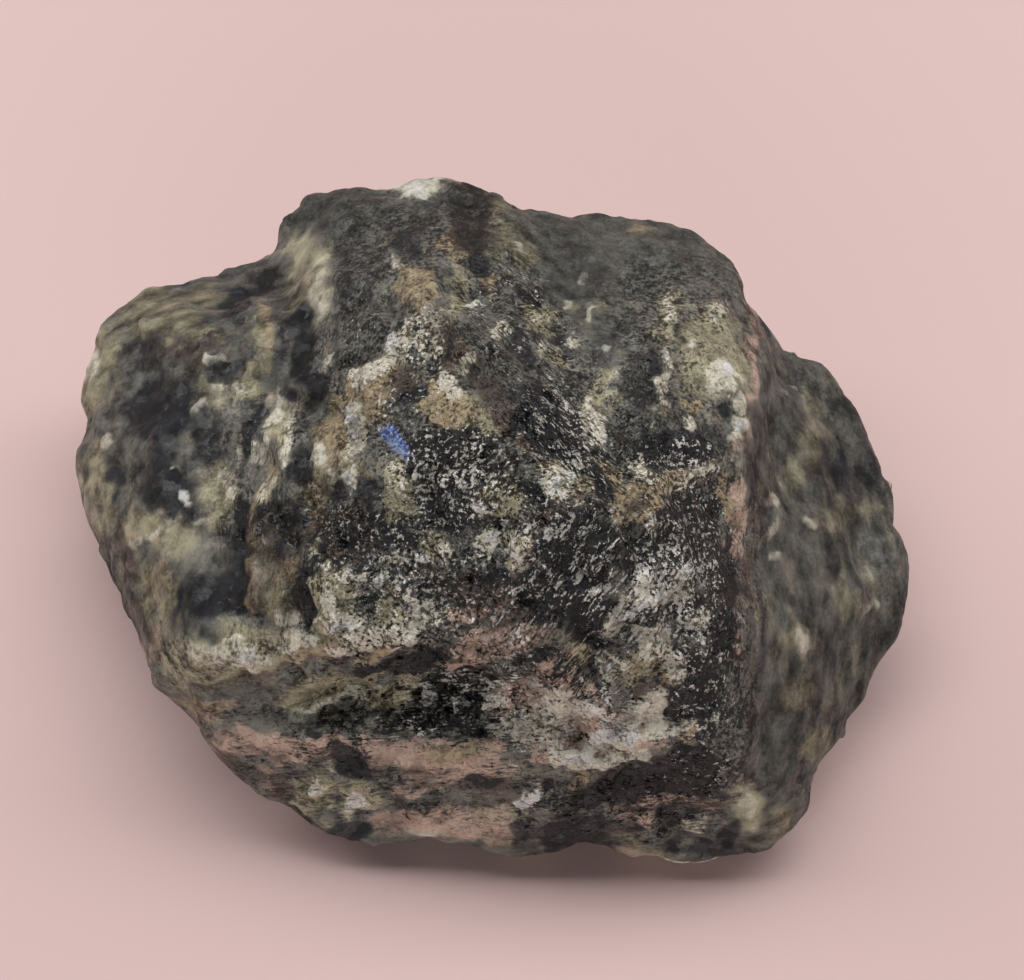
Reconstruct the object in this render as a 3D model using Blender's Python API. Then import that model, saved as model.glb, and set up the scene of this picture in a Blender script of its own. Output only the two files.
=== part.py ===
# A rough chunk of labradorite: one broken stone, resting on a flat cleavage face.
# Lengths are in millimetres here and become metres when the mesh is made.

import bpy
import bmesh
from mathutils import Vector, noise

MM = 0.001

# Overall size of the stone, measured over its furthest corners.
LENGTH_X = 94.0
WIDTH_Y = 76.0
HEIGHT_Z = 42.0

# Point inside the stone from which every part of its surface can be reached.
HEART = Vector((0.0, -2.0, 15.0))

# Longest edge left on the skin, and how far its corners are worn round.
LONGEST_EDGE = 2.75
MOST_SPLITS = 5
WEAR_PASSES = 1
WEAR_SHARE = 0.5

# Cleavage runs along GRAIN; the cleavage steps rise along STEP_WAY.
GRAIN = Vector((-0.45, 0.85, 0.28)).normalized()
STEP_WAY = Vector((0.86, 0.42, -0.29)).normalized()

# Broad lumps: size across and height.
LUMP_SIZE = 12.0
LUMP_HEIGHT = 0.8
LUMP_DETAIL = 3

# Broken blocks, drawn out along the grain: size, level, lean and width of the slope between two.
BLOCK_SIZE = 8.0
BLOCK_HEIGHT = 1.0
BLOCK_TILT = 0.28
BLOCK_STRETCH = 1.9
BLOCK_EDGE = 0.3

# Cleavage steps: distance apart, height, share of each that rises, and how they wander.
STEP_PITCH = 5.2
STEP_HEIGHT = 0.9
STEP_TOP = 0.7
STEP_WANDER = 2.4
WANDER_SIZE = 13.0

# The steps show in patches of this size, with this much of the stone left without them.
STEP_PATCH_SIZE = 17.0
STEP_PATCH_CONTRAST = 2.5

# Pits where crystals have dropped out, and small chips all over.
PIT_SIZE = 5.0
PIT_DEPTH = 2.0
PIT_START = 0.22
CHIP_SIZE = 2.6
CHIP_HEIGHT = 0.22

# Offsets that keep the patterns independent of each other.
LEVEL_SEED = Vector((9.0, 2.0, 4.0))
PATCH_SEED = Vector((3.0, 8.0, 1.0))
PIT_SEED = Vector((5.0, 1.0, 7.0))
LEAN_SEEDS = (Vector((1.0, 6.0, 2.0)), Vector((7.0, 3.0, 5.0)), Vector((4.0, 9.0, 8.0)))
LEAN_SEED_SCALE = 3.7
LEVEL_SEED_SCALE = 5.3

# The relief dies out over CALM_HEIGHT, and nothing comes closer than CLEARANCE to the floor.
CALM_HEIGHT = 5.0
CLEARANCE = 0.3
FLAT_LIMIT = 0.001

# Corners of the stone, as (x, y, height above the flat face).
# Widest outline, clockwise from the back left shoulder.
OUTLINE = [
    (-22, 36, 20), (-19, 36.5, 21), (-14.5, 37, 21), (-9.5, 37, 22), (-5.5, 38, 22),
    (-1.5, 36, 23), (1.5, 34, 23), (6.5, 32, 23), (12.5, 32.5, 22), (19, 31.5, 22),
    (24, 30, 22), (28, 26, 22), (29.5, 20, 23), (30.5, 17.5, 22), (33, 16.5, 18),
    (37, 16, 16), (39.5, 12, 15), (42, 7, 14), (44, 4, 13), (46, -2.5, 12), (47, -8, 11),
    (45.5, -13, 10), (43, -17.5, 9), (41, -22, 8), (38.5, -26, 7), (34.5, -30, 7),
    (34, -32.5, 6), (31.5, -36, 5), (29.5, -37.5, 4), (26.5, -37.5, 3), (22.5, -38, 3),
    (14, -37, 3), (5.5, -37.5, 3), (-1, -37, 4), (-9.5, -36.5, 4), (-16, -36.5, 4),
    (-21, -33.5, 6), (-25, -31, 8), (-29, -28, 10), (-31.5, -25.5, 12), (-35, -22, 13),
    (-36, -18, 14), (-39.5, -11.5, 14), (-42.5, -5, 13), (-45.5, 1, 12), (-46.5, 5, 12),
    (-45.5, 8.5, 13), (-47, 13, 13), (-46, 19, 14), (-43, 24, 16), (-40.5, 25.5, 17),
    (-35.5, 26, 18), (-31.5, 26.5, 18), (-27, 28, 19), (-24.5, 31.5, 19), (-23.5, 34, 20),
]

# Raised block along the back.
BACK_BLOCK = [
    (-18, 28.5, 25), (-11.5, 28.5, 26), (-5.5, 29, 27), (0, 26, 28), (-15.5, 20, 29),
    (-9.5, 20.5, 30), (-3.5, 19.5, 31), (2.5, 20.5, 30), (8, 24, 27), (14.5, 24.5, 26),
    (21, 23, 26), (25.5, 18.5, 27),
]

# Hollow corner between the back block and the left lobe.
NOTCH = [
    (-21.5, 28, 22), (-24.5, 27.5, 19), (-19.5, 23, 26), (-22.5, 20.5, 23),
]

# Rounded lobe that falls away to the left.
LEFT_LOBE = [
    (-40, 18, 20.5), (-34, 17.5, 23.5), (-27.5, 18, 25), (-21.5, 15, 28), (-42, 12, 19.5),
    (-34, 9, 24.5), (-27, 7.5, 27), (-21, 5, 29), (-43, 5, 18.5), (-36, 1, 23.5),
    (-29, 0.5, 26.5), (-23.5, -0.5, 28.5), (-42, -2.5, 18), (-35, -6.5, 23.5),
    (-28, -9, 26.5), (-22.5, -10, 28.5), (-39, -9.5, 18.5), (-32.5, -14.5, 23.5),
    (-25.5, -17, 26), (-35, -18.5, 18.5), (-28.5, -21.5, 22.5), (-22.5, -22, 25),
]

# Crown of the stone, rising to its highest corner.
CROWN = [
    (-17.5, 17.5, 30), (-17.5, 10, 30.5), (-11, 9, 34), (-6, 12.5, 35.5), (-15, 1.5, 32.5),
    (-10.5, -0.5, 35.5), (-6, 2.5, 36), (-14, -5.5, 34), (-8.5, -8, 37), (-15.5, -11, 32),
    (-10.5, -13.5, 35), (-4.5, -13, 38), (-2.5, -6, 38.5), (1.5, 0, 39.5), (3.5, -9, 41),
    (6, -14.5, 41.5), (11, -16, 42), (5, -19.5, 38), (14.5, -19.5, 38),
]

# Slope behind the crown, with a low step down the middle of it.
BACK_SLOPE = [
    (5.5, 11.5, 32.5), (12, 12, 32.5), (17, 14.5, 31), (7.5, 2.5, 35.5), (12.5, 3, 35.5),
    (16.5, 6.5, 33.5), (18, 6, 34.5), (22.5, 10.5, 31.5), (27, 11, 28), (11, -7, 38.5),
    (15.5, -5, 37), (17.5, -5, 37.5), (21.5, 1, 34), (21.5, -5.5, 34.5), (16, -12.5, 39),
    (20, -14, 36),
]

# Slope in front of the crown, down to the overhanging lip.
FRONT_SLOPE = [
    (9, -23.5, 35), (15, -24, 33.5), (21, -21, 32.5), (-0.5, -18.5, 36), (-5.5, -19.5, 34),
    (-10.5, -20, 32.5), (-16.5, -18, 30.5), (-18.5, -23, 27.5), (-13.5, -23, 28.5),
    (-8.5, -24, 30), (-2.5, -23, 31.5), (3.5, -24, 32), (9, -26.5, 29), (15, -27.5, 27),
    (21, -27, 26.5),
]

# Lip of the upper ledge, then the crevice that runs in under it.
LIP = [
    (-30, -25, 17), (-24, -25.5, 20), (-19, -26, 22.5), (-13.5, -26, 24.5), (-8.5, -25.5, 26),
    (-3.5, -25.5, 27.5), (2, -26, 28.5), (6, -28, 26.5), (11, -30, 24.5), (16.5, -31, 22.5),
    (21.5, -31.5, 21),
]
CREVICE = [
    (-20.5, -25.5, 17.5), (-15, -24.5, 18.5), (-10, -24.5, 19.5), (-5, -25, 20.5),
    (0.5, -25.5, 21.5), (5, -27, 21), (10, -30, 19.5),
]

# Broken front wall, from the edge of the lower shelf down to the foot.
FRONT_WALL = [
    (-26.5, -28.5, 15.5), (-20.5, -29.5, 16.5), (-14, -30, 17.5), (-8, -30.5, 18),
    (-2, -31, 18.5), (4.5, -31.5, 18.5), (10.5, -33, 18), (16.5, -33.5, 16.5), (22.5, -34, 14),
    (-23.5, -30.5, 11), (-17.5, -32, 11.5), (-10.5, -32.5, 12), (-4, -33.5, 12.5),
    (3, -34, 12.5), (9.5, -34.5, 12), (17, -35, 11), (24.5, -35.5, 8.5), (-17, -34, 7),
    (-8.5, -35, 7), (1, -36, 7), (10.5, -36, 6.5), (19, -36.5, 6),
]

# Long ridge on the right, and the wide flank beyond it, which starts with a sharp drop.
RIDGE = [
    (30, 14, 24), (28.5, 7.5, 28), (26.5, -1, 30.5), (25.5, -7, 31), (25, -13, 31.5),
    (25, -18, 30), (25.5, -22.5, 28), (25.5, -26.5, 25), (26, -30, 21), (26, -33.5, 15),
    (27, -36, 9),
]
FLANK = [
    (31, 10, 23), (29.5, 2, 25), (29, -4.5, 26), (28, -10.5, 26.5), (28, -17, 25.5),
    (28.5, -21.5, 23.5), (29, -25.5, 20.5), (29, -29.5, 16.5), (34, 9.5, 20), (37, 5, 18),
    (33, 0.5, 22), (39.5, -0.5, 16), (33.5, -7.5, 22), (41, -6.5, 14), (35.5, -14, 19.5),
    (41.5, -13, 12.5), (36, -19.5, 16), (37, -23.5, 12.5), (32.5, -28, 14.5), (30.5, -32, 11.5),
]

# Back wall below the outline, and the undercut that leads in to the flat face.
BACK_WALL = [
    (-44, 17, 8), (-34, 24, 10), (-21, 31, 13), (-8, 35, 14), (6, 32, 13), (19, 30, 13),
    (28, 25, 14), (32, 15, 13), (39.5, 8.5, 8),
]
UNDERCUT = [
    (-46, 7, 6), (-43.5, -4, 6), (-38, -14, 6), (-31, -24, 5), (-21, -31, 3), (-6, -34, 1.5),
    (10, -35, 1.5), (23, -35.5, 1.5), (32.5, -31, 2), (39, -21.5, 3), (44.5, -9.5, 4.5),
    (43, 2, 5), (36.5, 11, 5), (29.5, 21, 4.5), (15, 28.5, 5), (0, 30.5, 5), (-16, 28, 5),
    (-30, 21, 4), (-41, 15, 4),
]

# Edge of the flat cleavage face the stone rests on.
FLAT_FACE = [
    (-36, -6, 0), (-32, -15, 0), (-23, -25, 0), (-8, -30, 0), (10, -31.5, 0), (24, -31.5, 0),
    (33, -24, 0), (39.5, -11, 0), (38, 1, 0), (31, 10, 0), (25, 20, 0), (11, 24.5, 0),
    (-6, 25, 0), (-22, 20, 0), (-35, 12, 0),
]

STONE_COLOUR = (0.095, 0.092, 0.084, 1.0)
STONE_ROUGHNESS = 0.55
STONE_METALLIC = 0.0


def clear_scene():
    for thing in list(bpy.data.objects):
        bpy.data.objects.remove(thing, do_unlink=True)


def all_corners():
    upper = OUTLINE + BACK_BLOCK + NOTCH + LEFT_LOBE + CROWN + BACK_SLOPE
    front = FRONT_SLOPE + LIP + CREVICE + FRONT_WALL + RIDGE + FLANK
    lower = BACK_WALL + UNDERCUT + FLAT_FACE
    return [Vector(corner) for corner in upper + front + lower]


def neighbour_triangles(corners):
    """Number the corners that are seen side by side from HEART, three by three."""
    globe = bmesh.new()
    numbers = {}
    for number, corner in enumerate(corners):
        numbers[globe.verts.new((corner - HEART).normalized())] = number
    bmesh.ops.convex_hull(globe, input=globe.verts, use_existing_faces=False)
    triangles = [tuple(sorted(numbers[vert] for vert in face.verts)) for face in globe.faces]
    globe.free()
    return sorted(triangles)


def skin_over_corners(corners):
    skin = bmesh.new()
    verts = [skin.verts.new(corner) for corner in corners]
    for triangle in neighbour_triangles(corners):
        skin.faces.new([verts[number] for number in triangle])
    bmesh.ops.recalc_face_normals(skin, faces=skin.faces)
    return skin


def on_flat_face(vert):
    return vert.co.z < FLAT_LIMIT


def inside_flat_face(edge):
    return all(on_flat_face(vert) for face in edge.link_faces for vert in face.verts)


def split_long_edges(skin):
    for _ in range(MOST_SPLITS):
        long_edges = []
        for edge in skin.edges:
            if edge.calc_length() > LONGEST_EDGE and not inside_flat_face(edge):
                long_edges.append(edge)
        if not long_edges:
            return
        bmesh.ops.subdivide_edges(skin, edges=long_edges, cuts=1, use_grid_fill=True)
        bmesh.ops.triangulate(skin, faces=skin.faces)


def wear_corners(skin):
    free = [vert for vert in skin.verts if not on_flat_face(vert)]
    for _ in range(WEAR_PASSES):
        bmesh.ops.smooth_vert(
            skin, verts=free, factor=WEAR_SHARE,
            use_axis_x=True, use_axis_y=True, use_axis_z=True,
        )


def clamp(value):
    return max(0.0, min(1.0, value))


def blend(low, high, share):
    return low * (1.0 - share) + high * share


def lumps(point):
    return LUMP_HEIGHT * noise.fractal(point / LUMP_SIZE, 1.0, 2.0, LUMP_DETAIL)


def block_height(place, centre):
    """Height of one broken block: it stands at its own level and leans its own way."""
    lean_way = Vector(noise.noise(centre * LEAN_SEED_SCALE + seed) for seed in LEAN_SEEDS)
    level = noise.noise(centre * LEVEL_SEED_SCALE + LEVEL_SEED)
    return BLOCK_HEIGHT * level + BLOCK_TILT * BLOCK_SIZE * (place - centre).dot(lean_way)


def blocks(point):
    """Blocks drawn out along the grain, with a narrow slope where two of them meet."""
    along = point.dot(GRAIN)
    place = (point - GRAIN * along * (1.0 - 1.0 / BLOCK_STRETCH)) / BLOCK_SIZE
    distances, centres = noise.voronoi(place)
    depth_inside = clamp((distances[1] - distances[0]) / BLOCK_EDGE)
    nearest = block_height(place, centres[0])
    halfway = blend(block_height(place, centres[1]), nearest, 0.5)
    return blend(halfway, nearest, depth_inside)


def steps(point):
    """Cleavage steps: slow ramps that end in a short drop, only in some places."""
    wander = STEP_WANDER * noise.noise(point / WANDER_SIZE)
    turn = (point.dot(STEP_WAY) + wander) / STEP_PITCH
    ramp = turn - turn // 1.0
    if ramp > STEP_TOP:
        ramp = STEP_TOP * (1.0 - ramp) / (1.0 - STEP_TOP)
    patch = noise.noise(point / STEP_PATCH_SIZE + PATCH_SEED)
    return STEP_HEIGHT * (ramp - 0.5) * clamp(0.5 + STEP_PATCH_CONTRAST * patch)


def pits(point):
    depth = noise.noise(point / PIT_SIZE + PIT_SEED) - PIT_START
    return -PIT_DEPTH * max(0.0, depth) / (1.0 - PIT_START)


def chips(point):
    return CHIP_HEIGHT * noise.noise(point / CHIP_SIZE)


def relief(point):
    return lumps(point) + blocks(point) + steps(point) + pits(point) + chips(point)


def roughen(skin):
    """Move each point in or out along its line from HEART."""
    for vert in skin.verts:
        if on_flat_face(vert):
            continue
        share = clamp(vert.co.z / CALM_HEIGHT)
        calm = share * share * (3.0 - 2.0 * share)
        outward = (vert.co - HEART).normalized()
        vert.co += outward * relief(vert.co) * calm
        vert.co.z = max(vert.co.z, CLEARANCE)


def fit_to_size(skin):
    """Bring the stone to its overall size, centred over the origin."""
    low = Vector(min(vert.co[axis] for vert in skin.verts) for axis in range(3))
    high = Vector(max(vert.co[axis] for vert in skin.verts) for axis in range(3))
    middle = Vector(((low.x + high.x) / 2.0, (low.y + high.y) / 2.0, low.z))
    for vert in skin.verts:
        place = vert.co - middle
        place.x *= LENGTH_X / (high.x - low.x)
        place.y *= WIDTH_Y / (high.y - low.y)
        place.z *= HEIGHT_Z / (high.z - low.z)
        vert.co = place * MM


def stone_material():
    material = bpy.data.materials.new("labradorite_rough")
    material.use_nodes = True
    surface = material.node_tree.nodes["Principled BSDF"]
    surface.inputs["Base Color"].default_value = STONE_COLOUR
    surface.inputs["Roughness"].default_value = STONE_ROUGHNESS
    surface.inputs["Metallic"].default_value = STONE_METALLIC
    material.diffuse_color = STONE_COLOUR
    return material


def labradorite_chunk():
    skin = skin_over_corners(all_corners())
    split_long_edges(skin)
    wear_corners(skin)
    roughen(skin)
    fit_to_size(skin)
    bmesh.ops.recalc_face_normals(skin, faces=skin.faces)
    mesh = bpy.data.meshes.new("labradorite_chunk")
    skin.to_mesh(mesh)
    skin.free()
    mesh.materials.append(stone_material())
    stone = bpy.data.objects.new("labradorite_chunk", mesh)
    bpy.context.scene.collection.objects.link(stone)
    return stone


clear_scene()
labradorite_chunk()
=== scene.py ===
import math
import bpy
import bmesh
import numpy as np
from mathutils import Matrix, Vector, noise


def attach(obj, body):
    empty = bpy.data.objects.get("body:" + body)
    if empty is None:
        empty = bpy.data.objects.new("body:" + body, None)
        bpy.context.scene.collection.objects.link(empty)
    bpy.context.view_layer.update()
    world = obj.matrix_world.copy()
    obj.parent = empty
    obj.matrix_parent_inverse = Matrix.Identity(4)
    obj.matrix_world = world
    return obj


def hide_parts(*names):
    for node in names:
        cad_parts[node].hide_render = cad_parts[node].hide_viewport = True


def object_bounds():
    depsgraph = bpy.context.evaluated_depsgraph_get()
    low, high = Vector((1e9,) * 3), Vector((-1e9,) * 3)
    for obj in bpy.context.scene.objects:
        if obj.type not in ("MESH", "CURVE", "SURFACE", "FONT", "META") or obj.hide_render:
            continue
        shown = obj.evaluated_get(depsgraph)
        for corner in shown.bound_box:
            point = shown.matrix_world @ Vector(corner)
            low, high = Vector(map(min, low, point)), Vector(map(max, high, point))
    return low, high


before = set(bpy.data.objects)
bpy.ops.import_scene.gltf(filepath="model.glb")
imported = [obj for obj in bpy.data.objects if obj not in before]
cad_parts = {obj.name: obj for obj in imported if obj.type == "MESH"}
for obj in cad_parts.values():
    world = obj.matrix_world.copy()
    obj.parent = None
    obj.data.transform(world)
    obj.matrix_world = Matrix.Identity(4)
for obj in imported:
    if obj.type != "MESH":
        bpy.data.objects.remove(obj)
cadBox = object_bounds()
mm = 0.001


# Small helpers for node trees, used by the geometry tree and the materials alike.

def feed(tree, socket, value):
    # a socket is linked, anything else becomes the socket's own value
    if isinstance(value, bpy.types.NodeSocket):
        tree.links.new(value, socket)
    else:
        socket.default_value = value


def mathOut(tree, operation, *values):
    made = tree.nodes.new("ShaderNodeMath")
    made.operation = operation
    for socket, value in zip(made.inputs, values):
        feed(tree, socket, value)
    return made.outputs[0]


def times(tree, first, second):
    return mathOut(tree, "MULTIPLY", first, second)


def vectorOut(tree, operation, first, second):
    made = tree.nodes.new("ShaderNodeVectorMath")
    made.operation = operation
    feed(tree, made.inputs[0], first)
    feed(tree, made.inputs["Scale"] if operation == "SCALE" else made.inputs[1], second)
    scalar = operation in ("DOT_PRODUCT", "LENGTH", "DISTANCE")
    return made.outputs["Value" if scalar else "Vector"]


def noiseOut(tree, place, scale, detail, roughness, output="Fac"):
    made = tree.nodes.new("ShaderNodeTexNoise")
    feed(tree, made.inputs["Vector"], place)
    feed(tree, made.inputs["Scale"], scale)
    feed(tree, made.inputs["Detail"], detail)
    feed(tree, made.inputs["Roughness"], roughness)
    return made.outputs[output]


def cellNode(tree, place, scale, feature="F1"):
    made = tree.nodes.new("ShaderNodeTexVoronoi")
    made.feature = feature
    feed(tree, made.inputs["Vector"], place)
    feed(tree, made.inputs["Scale"], scale)
    return made


def rampOut(tree, value, low, high, outLow=0.0, outHigh=1.0):
    made = tree.nodes.new("ShaderNodeMapRange")
    made.interpolation_type = "SMOOTHSTEP"
    feed(tree, made.inputs["Value"], value)
    feed(tree, made.inputs["From Min"], low)
    feed(tree, made.inputs["From Max"], high)
    feed(tree, made.inputs["To Min"], outLow)
    feed(tree, made.inputs["To Max"], outHigh)
    return made.outputs["Result"]


def mixOut(tree, share, first, second, kind="RGBA"):
    made = tree.nodes.new("ShaderNodeMix")
    made.data_type = kind
    at, out = (6, 2) if kind == "RGBA" else (2, 0)
    feed(tree, made.inputs[0], share)
    feed(tree, made.inputs[at], first)
    feed(tree, made.inputs[at + 1], second)
    return made.outputs[out]


def between(tree, share, low, high):
    # the first value where the share is 0, the second where it is 1
    return rampOut(tree, share, 0.0, 1.0, low, high)


def centred(tree, value, amount):
    return times(tree, mathOut(tree, "SUBTRACT", value, 0.5), amount)


def added(tree, *values):
    total = values[0]
    for value in values[1:]:
        total = mathOut(tree, "ADD", total, value)
    return total


def addSocket(tree, name, kind, value=None, output=False):
    made = tree.interface.new_socket(
        name=name, in_out="OUTPUT" if output else "INPUT", socket_type="NodeSocket" + kind)
    if value is not None:
        made.default_value = value
    return made


def colour(red, green, blue):
    # a screen colour, 0 to 255, as the linear value that sockets hold
    parts = [part / 255.0 for part in (red, green, blue)]
    return tuple(p / 12.92 if p <= 0.04045 else ((p + 0.055) / 1.055) ** 2.4 for p in parts) + (1.0,)


def addObject(name, data):
    made = bpy.data.objects.new(name, data)
    bpy.context.scene.collection.objects.link(made)
    return made


# The camera looks down on the stone from the front.

viewer = {
    "lensMm": 70.0,
    "sensorMm": 36.0,
    "distanceMm": 214.0,
    "elevationDegrees": 62.0,
    "aimMm": (3.2, -2.1, 20.2),
}

elevation = math.radians(viewer["elevationDegrees"])
viewAlong = Vector((0.0, math.cos(elevation), -math.sin(elevation)))
viewUp = Vector((0.0, math.sin(elevation), math.cos(elevation)))
viewPoint = Vector(viewer["aimMm"]) - viewAlong * viewer["distanceMm"]


def makeCamera():
    lens = bpy.data.cameras.new("frontCamera")
    lens.lens = viewer["lensMm"]
    lens.sensor_width = viewer["sensorMm"]
    lens.clip_start = 0.001
    lens.clip_end = 20.0
    camera = addObject("frontCamera", lens)
    camera.location = viewPoint * mm
    camera.rotation_euler = viewAlong.to_track_quat("-Z", "Y").to_euler()
    bpy.context.scene.camera = camera


# Where each mineral shows. Places are read from the front, on a plane through the stone's middle
# that faces the camera. Each patch is an oval, in quarter millimetres: across, up, half its length
# and half its width, then how strong it is if not 1, and its turn in degrees if it is turned.

patchUnitMm = 0.25
mineralPatches = {}
mineralPatches["olive"] = [
    (-88, 86, 10, 22, 0.6, -4), (-178, 50, 19, 7, 1, 72), (-150, 74, 15, 9, 0.9, 20),
    (-140, 82, 13, 4, 1, 12), (-122, 42, 18, 5, 1, -14), (-128, 40, 7, 5), (-92, 100, 6, 8, 0.8),
    (-132, 66, 13, 4, 0.8, -20), (-108, 62, 13, 3, 0.8, 80), (-156, 82, 13, 5, 0.7, 20),
    (-98, 30, 10, 3, 1, 60), (-112, 50, 7, 3, 1, 20), (-128, -4, 7, 15), (-150, -18, 15, 8, 1, -28),
    (-178, 4, 6, 15, 0.8), (-176, -12, 6, 9, 0.7, -20), (-152, -48, 9, 13, 0.6), (-102, -40, 9, 12, 0.8, 10),
    (-76, -48, 10, 15), (-74, 14, 9, 9, 0.8), (-50, 0, 7, 14), (-66, 6, 4, 7, 0.7), (-160, -36, 8, 9, 0.5),
    (-120, -70, 26, 11, 1, 8), (-138, -76, 13, 10, 0.8), (-92, -68, 22, 7, 0.8, 12),
    (-80, -86, 20, 6, 1.15, 8), (-50, -86, 11, 4, 1, 20), (-124, -54, 10, 6, 0.7, 80),
    (-52, -52, 10, 9, 0.6), (-36, -22, 13, 9, 0.5), (-14, 34, 15, 8, 0.8, -10), (-4, -6, 11, 10, 0.7),
    (4, -30, 5, 9, 0.8, 10), (30, -64, 13, 5, 0.8, 70), (28, 8, 13, 8, 0.8, -20), (40, 6, 7, 6, 0.8),
    (-24, 86, 4, 12, 0.8), (6, 102, 6, 7, 0.9, -20), (-6, 114, 9, 12, 0.6, 20), (86, 60, 15, 20, 0.85, 10),
    (68, 74, 6, 12, 0.8), (40, 40, 7, 15, 0.7, -10), (28, 80, 4, 3, 0.8), (12, 74, 8, 5, 0.7),
    (20, 56, 9, 5, 0.7, -50), (56, 112, 10, 3, 0.5, -14), (126, 16, 15, 6, 0.8, 75),
    (140, -12, 9, 5, 0.7, 70), (124, -66, 7, 5, 0.8), (146, -48, 9, 6, 0.55, 80), (122, -90, 8, 5, 0.7, 60),
    (132, -110, 9, 6, 0.8, 50), (150, -8, 7, 4, 0.6, 70), (136, -86, 9, 6, 0.55, 80),
    (128, 38, 6, 4, 0.7, 80), (116, -142, 5, 7, 0.8), (100, -136, 7, 9, 0.9), (-66, -132, 8, 7, 1, 60),
    (-84, -130, 9, 7), (-18, -142, 22, 6, 0.7, 4), (-50, -110, 8, 3, 0.7), (64, -152, 17, 3, 0.7),
    (56, -76, 11, 5, 0.8, 10), (-30, -116, 11, 6, 0.5), (76, -102, 6, 7, 0.6),
]
mineralPatches["rose"] = [
    (20, -106, 24, 11, 0.75, -8), (-48, -114, 30, 6, 1, 2), (-24, -118, 22, 7), (-116, -110, 20, 6, 1, -8),
    (-92, -110, 17, 5), (-36, -142, 26, 5, 1, 6), (-14, -146, 19, 5, 0.9), (-6, -66, 22, 7, 1, 20),
    (-18, -54, 13, 5, 0.8, 10), (18, -74, 11, 3, 0.9, 30), (20, -90, 22, 7, 0.6, 20),
    (38, -104, 26, 12, 1, 6), (12, -90, 17, 10, 0.9, 10), (60, -96, 13, 8, 0.9), (56, -134, 21, 5, 0.9, 6),
    (96, -12, 21, 3, 0.9, 83), (104, 64, 26, 2, 1, 86), (98, 22, 9, 3, 0.8, 70), (-50, -64, 9, 4, 0.8, 20),
    (-130, -96, 11, 3, 0.9, 10), (-70, -110, 17, 6, 0.8), (-104, -126, 11, 4, 0.9, -30),
    (52, -142, 8, 3, 0.9), (38, -156, 26, 2, 0.8), (-14, -110, 11, 4, 0.9), (-78, -68, 9, 3, 0.7, 20),
    (4, -90, 11, 9, 0.5), (-40, -128, 11, 4, 0.9, 20), (98, -56, 26, 3, 0.6, 86),
    (80, -134, 11, 3, 0.8, -20), (-130, 56, 6, 3, 0.9, -15), (-112, -34, 22, 3, 0.8, 88),
    (-154, -64, 10, 4, 0.6, 60), (-168, -30, 10, 3, 0.5, -60),
]
mineralPatches["tan"] = [
    (-18, 60, 11, 1, 0.8, -56), (2, 28, 13, 1, 0.9, -58), (16, 4, 13, 1, 0.9, -56), (30, -6, 9, 1, 0.8, -50),
    (68, 4, 17, 2, 1, 24), (56, -2, 8, 4, 0.8, 40), (-62, 42, 19, 7, 1.2, 55), (-28, 38, 10, 9, 1.2, -30),
    (-74, 22, 6, 17, 0.9, -8), (-84, -4, 5, 17, 0.7, 4), (-24, 106, 7, 8, 0.9, 20), (-40, 86, 8, 9, 0.8),
    (-10, 90, 4, 4), (-46, 88, 3, 9, 0.7), (54, -6, 11, 9, 1, 30), (76, 6, 13, 3, 1, 26), (42, 6, 6, 4, 0.8),
    (-6, 34, 7, 2, 1, -60), (4, 22, 8, 2, 0.9, -60), (14, 8, 5, 3, 1, -60), (-108, 0, 13, 3, 0.9, 76),
    (-112, -36, 19, 2, 1, 86), (-98, -30, 6, 9, 0.7, 20), (68, -76, 4, 8, 1, 12), (-82, 22, 3, 6, 0.9),
    (-82, -16, 10, 3, 0.7, 10), (-106, 68, 13, 2, 0.9, 86), (-72, -12, 11, 2, 0.6, 4),
    (-164, -20, 9, 5, 0.6, -40), (-152, -38, 9, 4, 0.5, 60), (56, 112, 7, 2, 0.8, -10), (80, 36, 6, 3, 0.9),
    (30, -128, 3, 5, 0.8), (8, -24, 5, 3, 0.7, 50), (-48, -96, 10, 2, 0.7, 10), (-132, -94, 13, 3, 0.8, -5),
    (-26, -112, 13, 6, 0.6, 10), (76, -106, 4, 6, 0.7), (-86, -70, 15, 3, 0.8, 10),
    (-58, -70, 10, 3, 0.8, 16), (-90, 82, 3, 9, 0.5), (92, -4, 3, 9, 0.8),
]
mineralPatches["umber"] = [
    (56, -8, 8, 5, 0.6, 30), (-82, -118, 17, 1, 0.55, -6), (-40, -122, 22, 1, 0.55, 4),
    (-22, -110, 26, 1, 0.5, 2), (-56, -108, 17, 1, 0.5, -4), (-108, -98, 22, 1, 0.5, -4),
    (-6, -134, 22, 1, 0.55, 2), (-40, -136, 17, 1, 0.5, 4), (56, -138, 22, 1, 0.55, 2),
    (-112, -114, 13, 1, 0.5, -12), (-18, 116, 9, 17, 0.85, 10), (-28, 64, 17, 8, 0.85, -50),
    (-6, 40, 26, 5, 0.9, -56), (-74, -20, 17, 9, 0.85), (-100, -18, 9, 12, 0.85),
    (-30, -38, 15, 6, 0.85, -4), (-4, -44, 22, 7, 0.8, 10), (-52, -64, 13, 3, 0.8, 20),
    (-130, -106, 11, 3, 0.7), (-122, -118, 17, 3, 0.8, -30), (-166, -24, 13, 4, 0.7, -60),
    (-160, -56, 13, 4, 0.7, -62), (-50, 46, 9, 9, 0.7), (-100, -128, 9, 4, 0.8, -40),
    (-18, -128, 20, 3, 0.7), (60, -84, 10, 2, 0.7), (4, -56, 17, 4, 0.7, 20), (-138, 60, 15, 6, 0.85, -8),
    (100, -30, 26, 3, 0.7, 86), (38, -148, 22, 3, 0.7), (74, 0, 9, 3, 0.7, 30), (-36, -74, 17, 3, 0.7, 8),
    (-104, -78, 39, 1, 0.8, 14), (76, 98, 26, 2, 0.6, -36), (56, -124, 22, 4, 0.7, 6), (-66, -8, 5, 8, 0.6),
    (20, -12, 10, 8, 0.6, -40),
]
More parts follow.
